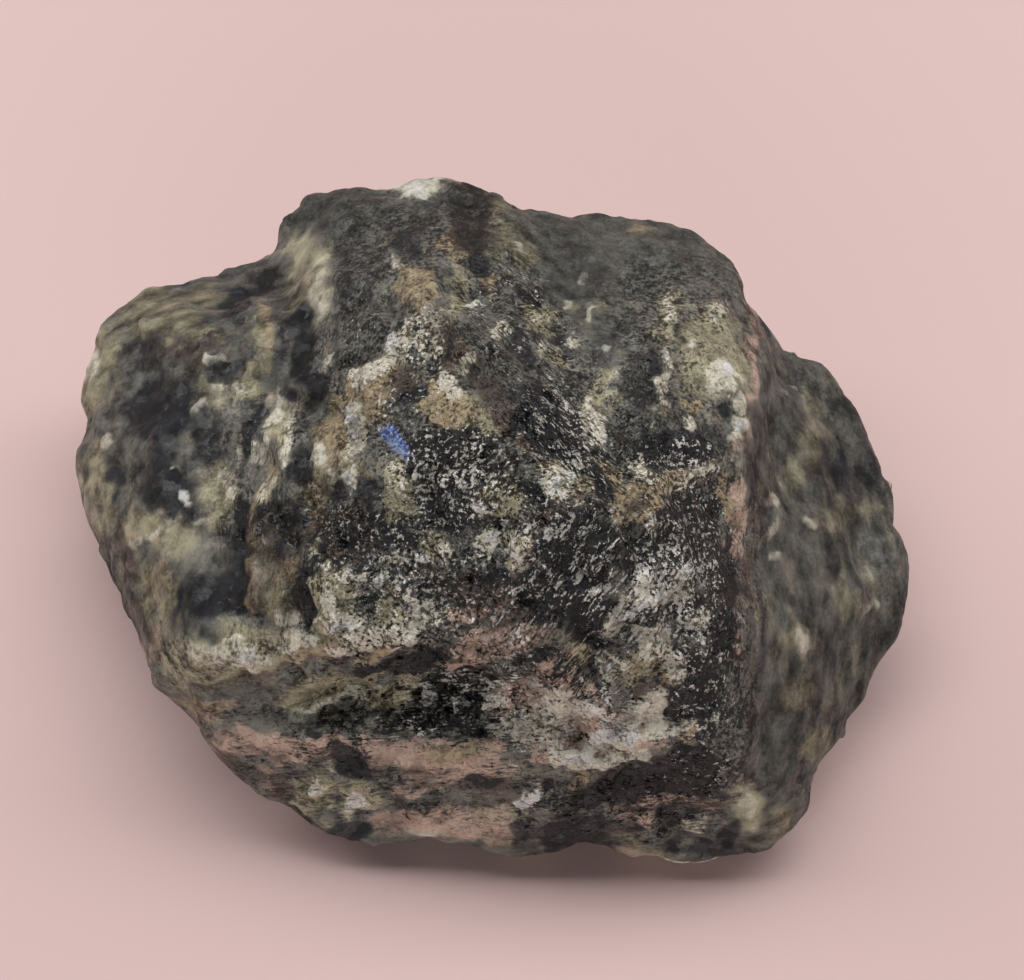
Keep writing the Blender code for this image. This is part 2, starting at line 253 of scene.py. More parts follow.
mineralPatches["cream"] = [
    (-122, -70, 22, 6, 0.58, -14), (-92, -64, 10, 5, 0.6, -4), (-52, -64, 19, 5, 0.6, -8),
    (24, -90, 15, 6, 0.68, -10), (-36, 68, 9, 12, 0.54), (66, -44, 11, 2, 0.9, 30),
    (76, -48, 9, 2, 0.8, -40), (58, -36, 6, 2, 0.8, 60), (62, -64, 7, 5, 0.9), (42, -56, 4, 4, 0.9),
    (44, -74, 5, 4, 0.9), (62, -18, 3, 6, 0.9, 20), (-66, 20, 5, 7, 0.8, 10), (80, 6, 10, 2, 0.8, 24),
    (4, -100, 13, 7, 0.6, 10), (56, -96, 10, 6, 0.6, 10), (38, -30, 2, 4, 0.7, 40), (20, -48, 2, 4, 0.7, 40),
    (42, -34, 4, 3, 0.7, 60), (-18, 56, 3, 6, 0.7, -30), (-44, 68, 3, 6, 0.7, 20), (-36, 78, 3, 4, 0.7, -20),
    (-56, -62, 8, 3, 0.7, 10), (-40, -58, 6, 3, 0.7, 20), (-44, 130, 14, 4, 0.9, 12),
    (-92, 38, 2, 13, 0.7, -24), (-98, 20, 2, 10, 0.6, -16), (-78, 54, 6, 1, 0.6, 50),
    (-120, 8, 1, 11, 0.5, -8), (-136, -12, 6, 2, 0.6, -20), (-108, -22, 1, 13, 0.5),
    (-122, -64, 6, 2, 0.6, 10), (-92, -40, 2, 9, 0.6, -8), (-84, -56, 4, 2, 0.6, 30), (90, 48, 6, 6),
    (88, 76, 4, 3, 0.9), (68, 78, 3, 5, 0.9), (96, 26, 3, 5), (98, 38, 3, 5, 0.9), (76, 30, 4, 3, 0.8),
    (66, 48, 2, 16, 0.95, -2), (62, 20, 2, 9, 0.95, 4), (58, 8, 7, 3, 1, -20), (56, 14, 3, 4, 0.8),
    (80, 62, 3, 3, 0.8), (28, 64, 5, 3, 1, -20), (38, 62, 2, 2, 0.9), (30, 92, 3, 2, 0.68),
    (40, 90, 2, 3, 0.62), (24, 80, 3, 3, 0.68), (34, 76, 2, 3, 0.64), (4, 104, 5, 2, 0.8, -50),
    (-18, 80, 3, 3, 0.9, 40), (-32, 62, 2, 6, 0.9, 4), (-48, 98, 3, 3, 0.9), (36, 28, 12, 3, 0.8, -68),
    (44, 46, 3, 9, 0.7, -14), (-6, 68, 3, 3, 0.7), (14, 62, 4, 2, 0.8, -40), (-26, 44, 8, 5, 0.8, -30),
    (18, 40, 7, 2, 0.8, -58), (30, 30, 6, 2, 0.8, -60), (-50, 62, 5, 7, 1.1, -20), (-60, 50, 9, 4, 1, 50),
    (-68, 28, 9, 3, 0.9, 80), (-82, 18, 2, 7, 0.95), (-68, 6, 3, 6, 0.8), (-50, 6, 7, 10, 0.55),
    (-84, 82, 4, 17, 0.4, -6), (-92, 102, 4, 5, 0.3), (-104, 28, 18, 3, 0.6, 70), (-108, 0, 10, 2, 0.6, 78),
    (-112, 16, 6, 3, 0.55, 60), (-124, 4, 2, 7, 0.6), (-122, 42, 11, 2, 0.7, -14), (-180, 54, 3, 10, 0.7),
    (-150, 28, 3, 2, 0.9, -30), (-144, 10, 4, 3, 0.95, -30), (-142, -2, 3, 2, 0.75, -30),
    (-148, -10, 5, 2, 0.75, -20), (-174, 20, 3, 3, 0.8), (-128, 56, 4, 2, 1, -15), (-134, 38, 3, 3, 0.9),
    (-86, -26, 2, 6, 0.95, -20), (-58, -38, 5, 3), (-72, -56, 8, 4), (-78, -48, 3, 9, 0.8),
    (-68, -36, 7, 3, 0.9), (-78, 8, 3, 5, 0.6), (-98, -52, 4, 5, 0.7), (-92, -10, 5, 2, 0.6, 20),
    (62, -92, 11, 6, 0.9, 10), (20, -96, 9, 5, 0.8), (38, -118, 13, 3, 0.7, 10), (-156, -24, 7, 2, 0.6, 30),
    (-112, -68, 10, 3, 0.5, 16), (-92, -66, 10, 3, 0.85, 10), (-72, -68, 7, 2, 0.8),
    (-74, -90, 15, 2, 0.8, 10), (-16, -10, 6, 5, 1.15), (-8, -24, 6, 5, 1.1, 30), (4, -30, 3, 7, 0.9, 12),
    (-36, -54, 6, 7), (-44, -48, 5, 4, 0.8), (-38, -28, 4, 2, 0.95, -15), (18, 2, 7, 5, 0.85, -30),
    (62, -18, 3, 7, 1, 10), (76, -38, 4, 5), (68, -46, 10, 3, 0.9, 10), (54, -44, 3, 3, 0.9),
    (44, -56, 4, 6), (42, -74, 6, 4, 1, 5), (64, -70, 10, 4, 1, -10), (72, -76, 4, 7, 0.9),
    (56, -64, 4, 3, 0.8), (78, -56, 5, 3, 0.8, -40), (46, -48, 3, 3, 0.8), (112, -18, 5, 4, 0.64),
    (128, -14, 6, 3, 0.75, -10), (116, -32, 3, 3, 0.62), (154, -48, 4, 3, 0.6), (112, -6, 3, 3, 0.6),
    (124, -66, 4, 3, 0.6), (120, 42, 3, 2, 0.7), (86, -64, 2, 3, 0.95), (84, -70, 2, 3, 0.9),
    (92, -72, 2, 2, 0.9), (80, -86, 2, 3, 0.9), (86, -100, 2, 2, 0.9), (-14, 18, 2, 5, 0.7),
    (-50, -30, 6, 3, 0.7), (-26, -24, 4, 3, 0.7), (10, -130, 8, 3, 0.5, 12), (22, -128, 6, 2, 0.5),
    (44, -106, 13, 7, 0.8, 6), (56, -112, 7, 3, 0.7), (16, -106, 10, 5, 0.6), (26, -114, 9, 4, 0.9, 10),
    (8, -102, 9, 8, 0.85), (68, -102, 8, 5, 0.8), (-6, -90, 8, 3, 0.7, 20), (100, -136, 4, 7, 0.5),
    (78, -144, 4, 3, 0.8), (-66, -136, 5, 4, 0.8), (-36, -148, 10, 3, 0.4, 10), (-84, -128, 5, 4, 0.8),
    (12, -86, 9, 3, 0.8, 20), (-78, -120, 5, 2, 0.5), (34, -94, 9, 3, 0.8, 10),
]
mineralPatches["black"] = [
    (-118, 80, 7, 6, 0.9), (-106, 90, 4, 5, 0.9), (-90, 64, 6, 18, 0.9, 2), (-152, 34, 15, 12, 1, 20),
    (-132, 22, 6, 11, 0.8), (-124, 50, 9, 5, 0.8, -10), (-92, 122, 9, 6, 0.5, 30), (-44, 108, 7, 11, 0.6),
    (-156, 60, 5, 5, 0.5), (-84, 46, 6, 9, 0.8, 20), (-98, 42, 4, 5, 0.7), (-148, 4, 11, 15, 0.95),
    (-116, -26, 3, 28, 0.85), (-112, 28, 3, 15, 0.8, -18), (-92, 12, 6, 9, 0.95), (-78, 2, 6, 6, 0.7),
    (-128, -46, 12, 11, 0.8), (-90, -46, 4, 12, 0.95), (-64, -46, 6, 3, 0.95), (-100, -12, 9, 7, 0.7),
    (-74, -22, 11, 5, 0.6), (-142, -50, 4, 11, 0.6), (-130, -62, 5, 4, 0.7), (-64, 0, 4, 7, 0.85),
    (-48, -20, 9, 5, 0.7), (-168, 8, 6, 6, 0.5), (-62, -14, 11, 3, 0.6), (-28, 10, 19, 15, 1.2, 30),
    (-24, -12, 15, 6, 0.8, -20), (-44, 40, 10, 5, 0.7, 20), (18, 26, 22, 8, 1.1, -56),
    (38, 4, 11, 4, 0.9, -40), (12, -4, 9, 4, 0.8, -40), (24, -34, 26, 15, 1.2, 54),
    (34, -54, 10, 7, 0.9, 60), (72, 18, 14, 9, 1.1), (76, -18, 12, 14, 1.2), (56, -30, 10, 7, 0.8, 40),
    (54, -56, 9, 7, 0.95), (56, 38, 5, 19, 0.6, -2), (60, 50, 1, 14, 0.9), (76, -48, 9, 4, 0.8, 20),
    (90, -48, 7, 26), (82, -86, 7, 17, 0.95), (72, -92, 7, 9, 0.95), (38, -66, 6, 3, 0.8),
    (-30, -48, 7, 3, 0.7, 40), (-6, -38, 13, 4, 0.6), (92, 34, 3, 3, 0.8), (74, 48, 3, 4, 0.6),
    (74, 66, 3, 4, 0.6), (4, 60, 10, 4, 0.7, -55), (8, 82, 9, 3, 0.6, -50), (20, 68, 6, 3, 0.6, -50),
    (-14, 98, 4, 10, 0.7, 10), (-48, -76, 20, 3, 1, 8), (-24, -86, 15, 6, 0.9), (8, -72, 10, 2, 0.9, 22),
    (-66, -100, 24, 2, 0.7, -4), (-36, -96, 17, 4, 0.9), (-18, -102, 9, 3, 0.9, -30),
    (-70, -116, 12, 6, 1, -40), (-88, -104, 5, 3, 0.9, -30), (56, -126, 24, 7, 1, 20), (76, -120, 11, 9),
    (80, -120, 9, 10, 0.9), (-12, -126, 9, 3, 0.85), (18, -126, 5, 3, 0.95), (38, -136, 17, 3, 0.9, 10),
    (2, -146, 6, 6, 0.9), (26, -148, 16, 6, 0.85), (-70, -146, 9, 5, 0.8), (80, -152, 13, 3, 0.8),
    (-48, -136, 6, 3, 0.7), (92, -150, 6, 5, 0.8), (68, -142, 6, 4, 0.8), (-92, -138, 6, 3, 0.8, -40),
]
# white grains, with some painted highlights among them
mineralPatches["whiteAndHighlight"] = [
    (44, -100, 10, 4, 0.62, -20), (-56, 24, 3, 2, 0.7, -30), (-44, 130, 11, 3, 0.75, 12),
    (92, 50, 3, 3, 0.9), (28, 66, 2, 2, 0.8), (38, 62, 1, 1, 0.8), (-48, 98, 2, 2, 0.9),
    (-52, 64, 3, 3, 0.9), (-68, 26, 3, 2, 0.8), (-70, 6, 2, 3, 0.8), (-72, -58, 5, 3), (-58, -38, 4, 3, 0.9),
    (-38, -28, 3, 1, 1, -15), (8, -132, 8, 2, 0.95, 10), (28, -114, 7, 3, 0.95, 20), (40, -106, 7, 4, 1, 10),
    (52, -104, 6, 4, 0.95), (42, -74, 4, 2, 1, 5), (-14, -8, 3, 3, 0.95), (-8, -24, 3, 3, 0.9),
    (96, 26, 2, 3, 0.9), (6, -96, 5, 3, 0.9), (-144, 10, 2, 1, 0.8), (-142, -2, 2, 1, 0.75),
    (44, -54, 2, 3, 0.8), (76, -36, 2, 3, 0.8), (62, -16, 1, 3, 0.8), (56, -48, 3, 2, 0.8),
    (62, -44, 2, 3, 0.8), (82, -64, 1, 2, 0.9), (24, 4, 3, 3, 0.8), (18, 0, 4, 2, 0.8, -50),
    (-18, 80, 2, 1, 0.8), (-134, 38, 2, 2, 0.8), (-68, 32, 2, 2, 0.8), (-114, -70, 3, 2, 0.7, 10),
    (-36, -90, 3, 2, 0.8), (-22, -92, 3, 2, 0.8), (-16, -86, 2, 2, 0.8), (-86, -128, 3, 2, 0.8),
    (-66, -136, 3, 2, 0.8),
]
# painted sheen: the blue labradorescence, which shows only from some directions, is painted as a fixed blue
# patch
mineralPatches["paintedBlueSheen"] = [
    (-50, 20, 7, 4, 1.05, -34),
]
# where the pale flecks and painted glints lie thickest
mineralPatches["grain"] = [
    (-26, 6, 22, 22), (76, -30, 17, 9, 0.9), (62, -30, 9, 13, 0.9), (24, -30, 28, 28, 0.85),
    (46, -48, 13, 22, 0.7), (76, -16, 13, 13, 0.8), (22, 26, 26, 17, 0.8, -56), (62, -46, 28, 22),
    (82, -74, 13, 39, 0.8), (-24, -90, 26, 11, 1, 8), (20, 74, 47, 26, 0.5, -20), (76, 16, 17, 11, 0.8),
    (-48, 52, 26, 30, 0.4), (-36, -44, 26, 17, 0.6), (-68, 82, 17, 30, 0.45), (46, 104, 47, 15, 0.35),
    (-92, 8, 22, 34, 0.35), (-56, -30, 26, 22, 0.5), (20, -98, 39, 17, 0.8), (80, -120, 26, 17, 0.6),
    (-142, 12, 22, 30, 0.2), (124, -48, 34, 77, 0.14), (4, -64, 26, 13, 0.7), (-14, -120, 34, 13, 0.35),
]

# where the surface is streaked, and which way
streakPatches = {}
streakPatches["downRight"] = [
    (-14, 60, 34, 11, 1, -58), (20, 30, 30, 15, 1, -56), (38, 8, 17, 10, 1, -60), (12, 82, 39, 13, 0.5, -50),
]
streakPatches["downLeft"] = [
    (28, -40, 34, 19, 1, 54), (46, -64, 22, 15, 0.8, 64), (32, -68, 26, 10, 1, 66),
    (-6, -60, 22, 9, 0.6, 40),
]
streakPatches["level"] = [
    (-56, -120, 86, 26, 0.9, 3), (-108, -108, 34, 17, 0.8, -6), (38, -142, 64, 13, 0.8, 2),
    (-48, -86, 56, 11, 0.8, 8), (4, -78, 22, 7, 0.6, 14), (38, -108, 47, 17, 0.45, 8),
    (38, -146, 64, 11, 0.45), (-104, -86, 39, 13, 0.6, 12), (-134, 82, 34, 10, 0.5, 14),
]
streakPatches["upright"] = [
    (-106, 4, 39, 15, 0.9, 78), (-122, -38, 34, 17, 0.7, 85), (-70, 86, 34, 19, 0.8, 88),
    (-92, -44, 26, 15, 0.6, 86), (98, -30, 69, 6, 0.7, 86), (52, 38, 26, 15, 0.7, 86),
    (-78, 22, 22, 15, 0.5, 80), (132, -30, 69, 26, 0.3, 84),
]

# where the stone swells, is rugged, granular or calm, and is pale or deep in tone as a whole
formPatches = {}
formPatches["swell"] = [
    (-72, 124, 24, 7, 1, -4), (-10, 124, 20, 6, 1, -25), (162, -30, 10, 26, 0.7), (-168, 76, 15, 9, 1, 40),
    (-182, 44, 5, 17, 0.6),
]
formPatches["rugged"] = [
    (-74, -30, 52, 41), (-18, -48, 39, 26, 0.9), (20, -22, 30, 34, 0.6), (56, -48, 26, 39, 0.7),
    (-48, -86, 64, 17, 0.8, 5), (20, -98, 47, 22, 0.8), (56, -128, 39, 17, 0.7), (-78, 38, 26, 47, 0.7, 10),
    (-30, 68, 30, 34, 0.6), (20, 68, 26, 34, 0.4, -40), (80, 56, 22, 26, 0.5), (-112, -4, 26, 52, 0.7, 10),
    (-70, -128, 39, 17, 0.6),
]
formPatches["granular"] = [
    (-48, -120, 90, 26, 0.5), (-100, -108, 39, 22, 0.35), (-122, -74, 34, 17, 0.3, 8), (8, -12, 73, 47),
    (60, -30, 39, 56), (-40, -38, 52, 43), (20, -94, 47, 26), (-26, -90, 60, 22, 1, 5),
    (-48, 44, 34, 39, 0.7), (8, 60, 47, 22, 0.7, -55), (-74, -12, 26, 22, 0.5), (80, -90, 22, 47, 0.7),
    (-92, -68, 39, 22, 0.45), (-40, 94, 39, 30, 0.4), (-104, 4, 26, 39, 0.4), (38, -134, 56, 17, 0.6),
    (72, 60, 30, 39, 0.45),
]
formPatches["calm"] = [
    (50, 104, 45, 15, 0.9, -4), (50, 36, 9, 22, 0.9, -4), (-66, 88, 10, 32, 0.8, 4),
    (-70, 122, 30, 10, 1, 4), (76, 82, 17, 10, 0.5, -40), (32, 54, 9, 17, 0.5, -10), (-30, 124, 13, 7, 0.5),
]
formPatches["pale"] = [
    (-150, 16, 20, 24, 0.34), (138, -30, 24, 28, 0.32), (-96, -66, 64, 17, 0.5, 8),
    (-54, -62, 34, 15, 0.45, 8), (-30, 62, 22, 26, 0.5), (28, -104, 36, 20, 0.6), (-68, 18, 19, 22, 0.4),
    (-112, 18, 22, 22, 0.35), (-70, 74, 22, 17, 0.35), (46, 104, 11, 9, 0.2), (-64, -100, 13, 4, 0.9, 20),
    (-48, 74, 26, 22, 0.35), (20, 64, 22, 22, 0.2), (-122, -68, 26, 10, 0.5, 8), (66, -48, 19, 15, 0.6),
    (64, -70, 13, 13, 0.7), (-10, -18, 15, 13, 0.5), (-74, -116, 52, 17, 0.45), (76, 6, 15, 5, 0.6, 24),
    (-70, 74, 19, 19, 0.3), (-104, -108, 26, 13, 0.6), (-40, -114, 47, 11, 0.95, 2),
    (-152, 22, 17, 22, 0.25), (32, -104, 39, 19, 1.35, 6), (-62, -60, 30, 13, 0.85, 4),
    (4, -96, 17, 13, 0.9), (-44, 130, 15, 5, 0.3, 12), (90, 48, 9, 11, 1.1), (-116, -74, 34, 15, 0.5, 8),
    (-62, -64, 26, 11, 0.8, 10), (8, -98, 17, 15, 0.9), (-36, -114, 47, 10, 0.9), (-92, -110, 26, 9, 0.6),
    (-104, -106, 26, 9, 0.4, -8), (86, 52, 17, 22, 0.65, 10), (-60, 46, 20, 10, 1, 56), (-50, 4, 9, 15, 0.9),
    (-28, 38, 12, 10, 0.9), (-180, 50, 10, 22, 0.3), (-178, 0, 10, 22, 0.4), (-74, -48, 17, 18, 0.5),
    (-106, 22, 10, 26, 0.7, -16), (-150, 74, 26, 9, 0.15, 15), (-82, 86, 6, 20, 0.7), (-92, 102, 9, 10, 0.6),
    (4, -28, 13, 11, 0.6), (62, -70, 19, 11, 0.5), (-70, -134, 34, 11, 0.6, 8), (-26, -144, 39, 9, 0.6, 4),
    (56, -6, 15, 11, 0.6), (40, 40, 9, 19, 0.5, -10), (98, -136, 9, 11, 0.8), (-70, -86, 30, 7, 1.1, 10),
    (-150, -22, 22, 9, 0.5, -20), (-128, -4, 10, 17, 0.2), (22, 2, 12, 9, 0.6), (60, -46, 22, 11, 0.5),
    (-36, -54, 13, 11, 0.5), (-10, -66, 22, 10, 0.5, 20), (-18, -128, 43, 10, 0.5, 4),
    (56, -136, 22, 7, 0.4), (96, -12, 6, 26, 0.7),
]
formPatches["deep"] = [
    (72, -34, 19, 30, 0.3), (74, -12, 9, 8, 0.7), (132, -86, 19, 24, 0.22), (-74, 14, 8, 8, 0.4),
    (-36, -142, 13, 7, 0.35), (-112, -68, 11, 7, 0.3), (-142, -76, 13, 9, 0.3), (-18, 116, 9, 15, 0.85, 10),
    (-172, -12, 13, 30, 0.25), (-142, 78, 30, 11, 0.2, 14), (-48, 118, 52, 13, 0.2, -4),
    (20, 104, 52, 22, 0.12, -10), (56, 38, 26, 26, 0.2), (-118, -24, 5, 28, 0.5, 4), (-92, 60, 9, 22, 0.5),
    (-104, 88, 9, 9, 0.4), (106, 8, 5, 26, 0.3), (150, 22, 10, 26, 0.3, 20), (-128, -76, 6, 5, 0.6, 20),
    (-126, -86, 5, 3, 0.6, -20), (-146, -68, 4, 5, 0.5), (-66, 88, 10, 30, 0.6, 4),
    (-70, 122, 28, 9, 0.3, 4), (50, 36, 8, 22, 0.4, -4), (62, -128, 34, 11, 0.8, 4),
    (24, -40, 28, 15, 0.6, 55), (-26, 6, 22, 17, 0.9, 30), (86, -64, 11, 43, 0.7),
    (-36, -96, 22, 5, 0.6, 10), (-70, -116, 14, 7, 0.8, -35), (-150, 22, 17, 26, 0.4),
    (-92, 122, 17, 10, 0.3, 20), (20, 22, 24, 10, 0.8, -56), (-90, -44, 6, 15, 0.7),
    (-48, -76, 22, 3, 0.5, 8), (-78, -18, 26, 13, 0.5), (146, -8, 15, 34, 0.55, 5), (132, -52, 9, 26, 0.4),
    (154, -56, 9, 22, 0.4), (-16, 114, 10, 19, 0.5, 10), (-28, 64, 19, 10, 0.5, -50), (74, -12, 15, 12, 0.6),
    (-116, -26, 4, 26, 0.5), (-6, -44, 22, 7, 0.5),
]


# The stone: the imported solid, refined and given a finer broken surface.

stoneShape = {
    "cutsPerEdge": 3,
    "wearPasses": 3,
    "wearShare": 0.5,
    "seed": 3.0,
    "blockMm": 4.6,         # broken blocks, each leaning its own way
    "blockTilt": 0.24,
    "flakeMm": 1.7,         # cleavage flakes on them
    "flakeTilt": 0.26,
    "cellBend": 0.7,        # how far the sides of blocks and flakes are bent
    "grooveWidth": 0.16,    # of the groove round each, as shares of its size
    "grooveDepth": 0.05,
    "calmShare": 0.22,      # how much of the relief is left where the stone isn't rugged
    "chipMm": 2.6,          # small lumps
    "chipHeightMm": 0.20,
    "streakMm": 0.85,       # fibrous streaks
    "streakHeightMm": 0.20,
    "streakStretch": 7.0,
    "calmMm": 1.6,          # the relief dies out this close to the resting face
    "swellMm": 0.75,        # how far the swell patches stand out
    # how far each mineral stands out of the stone (mm), reached a little inside its patches
    "standsFrom": 0.4,
    "standsGain": 2.0,
    "standsOut": {
        "cream": 0.16, "whiteAndHighlight": 0.12, "tan": 0.08, "olive": 0.08, "black": -0.12, "umber": -0.08,
    },
}

patchEdges = {
    "wanderMm": (5.5, 1.6),       # size of the wobble in the patches' edges, broad and fine
    "wanderReachMm": (1.1, 0.8),
    "leastHalfMm": 0.45,
    "squareness": 2.8,            # 2 makes ovals, more makes blockier patches
    # sides turned away from the front carry clouds of each layer instead of its patches
    "turnFrom": 0.22,
    "turnOver": 0.3,
    "hiddenSizeMm": 9.0,
    "hiddenContrast": 1.6,
    "hiddenSpread": 0.62,
    "hiddenShare": {
        "olive": 0.46, "cream": 0.30, "tan": 0.30, "rose": 0.22, "umber": 0.30,
        "black": 0.46, "whiteAndHighlight": 0.20, "paintedBlueSheen": 0.0, "grain": 0.42,
        "downRight": 0.30, "downLeft": 0.2, "level": 0.4, "upright": 0.35,
        "swell": 0.0, "rugged": 0.5, "granular": 0.5, "calm": 0.4, "pale": 0.4, "deep": 0.4,
    },
}


def refinedCopy(node):
    # loose triangles are welded first, then every side is cut into shorter ones
    skin = bmesh.new()
    skin.from_mesh(node.data)
    bmesh.ops.remove_doubles(skin, verts=skin.verts, dist=1e-6)
    floorLevel = min(vert.co.z for vert in skin.verts) + 0.01 * mm
    sides = [e for e in skin.edges if any(v.co.z > floorLevel for f in e.link_faces for v in f.verts)]
    bmesh.ops.subdivide_edges(skin, edges=sides, cuts=stoneShape["cutsPerEdge"], use_grid_fill=True)
    bmesh.ops.triangulate(skin, faces=skin.faces)
    free = [v for v in skin.verts if v.co.z > floorLevel]
    for _ in range(stoneShape["wearPasses"]):
        bmesh.ops.smooth_vert(
            skin, verts=free, factor=stoneShape["wearShare"],
            use_axis_x=True, use_axis_y=True, use_axis_z=True)
    mesh = bpy.data.meshes.new("labradoriteStone")
    skin.to_mesh(mesh)
    skin.free()
    return mesh


def meshArrays(mesh):
    places = np.empty(len(mesh.vertices) * 3)
    mesh.vertices.foreach_get("co", places)
    facing = np.empty(len(mesh.vertices) * 3)
    mesh.vertices.foreach_get("normal", facing)
    return places.reshape(-1, 3) / mm, facing.reshape(-1, 3)


def smooth(values):
    values = np.clip(values, 0.0, 1.0)
    return values * values * (3.0 - 2.0 * values)


def wobble(places, size, seed):
    shift = Vector((seed, seed * 1.7, seed * 2.3))
    return np.array([noise.noise(Vector(place) / size + shift) for place in places])


def fractalWobble(places, size, seed):
    shift = Vector((seed * 1.3, seed, seed * 3.1))
    return np.array([noise.fractal(Vector(p) / size + shift, 0.8, 2.1, 4) for p in places])


def ovalField(across, up, patches):
    # 1 in the middle of a patch, 0.5 at its edge, 0 outside it
    field = np.zeros(len(across))
    least = patchEdges["leastHalfMm"]
    power = patchEdges["squareness"]
    for patch in patches:
        middleAcross, middleUp, halfLong, halfShort = (size * patchUnitMm for size in patch[:4])
        strength = patch[4] if len(patch) > 4 else 1.0
        bend = math.radians(patch[5]) if len(patch) > 5 else 0.0
        aside, above = across - middleAcross, up - middleUp
        along = aside * math.cos(bend) + above * math.sin(bend)
        beside = above * math.cos(bend) - aside * math.sin(bend)
        reach = np.abs(along / max(halfLong, least)) ** power
        reach = (reach + np.abs(beside / max(halfShort, least)) ** power) ** (1.0 / power)
        field = np.maximum(field, smooth(1.5 - reach) * strength)
    return field


def paintFields(mesh):
    places, facing = meshArrays(mesh)
    offset = places - np.array(viewPoint)
    depth = offset @ np.array(viewAlong)
    closer = viewer["distanceMm"] / depth
    broad, fine = patchEdges["wanderMm"]
    broadReach, fineReach = patchEdges["wanderReachMm"]
    across = offset[:, 0] * closer
    across += wobble(places, broad, 2.0) * broadReach + wobble(places, fine, 11.0) * fineReach
    up = (offset @ np.array(viewUp)) * closer
    up += wobble(places, broad, 5.0) * broadReach + wobble(places, fine, 17.0) * fineReach
    seen = smooth((-(facing @ np.array(viewAlong)) + patchEdges["turnFrom"]) / patchEdges["turnOver"])
    standing = np.zeros(len(places))
    layers = {**mineralPatches, **streakPatches, **formPatches}
    for number, (name, patches) in enumerate(layers.items()):
        share = patchEdges["hiddenShare"][name]
        cloud = fractalWobble(places, patchEdges["hiddenSizeMm"], 3.0 + 2.0 * number)
        cloud = cloud - patchEdges["hiddenSpread"] * (1.0 - 2.0 * share)
        hidden = np.clip(0.5 + patchEdges["hiddenContrast"] * cloud, 0.0, 1.0)
        if share == 0.0:
            hidden = hidden * 0.0
        field = ovalField(across, up, patches) * seen + hidden * (1.0 - seen)
        layer = mesh.attributes.new(name, "FLOAT", "POINT")
        layer.data.foreach_set("value", field.astype(np.float32))
        rise = smooth(stoneShape["standsGain"] * field - stoneShape["standsFrom"])
        standing += rise * stoneShape["standsOut"].get(name, 0.0)
        if name == "swell":
            standing += field * stoneShape["swellMm"]
    layer = mesh.attributes.new("standing", "FLOAT", "POINT")
    layer.data.foreach_set("value", standing.astype(np.float32))


def storedOut(tree, name):
    # a painted field, read in the surface's tree
    made = tree.nodes.new("GeometryNodeInputNamedAttribute")
    made.data_type = "FLOAT"
    made.inputs["Name"].default_value = name
    return made.outputs[0]


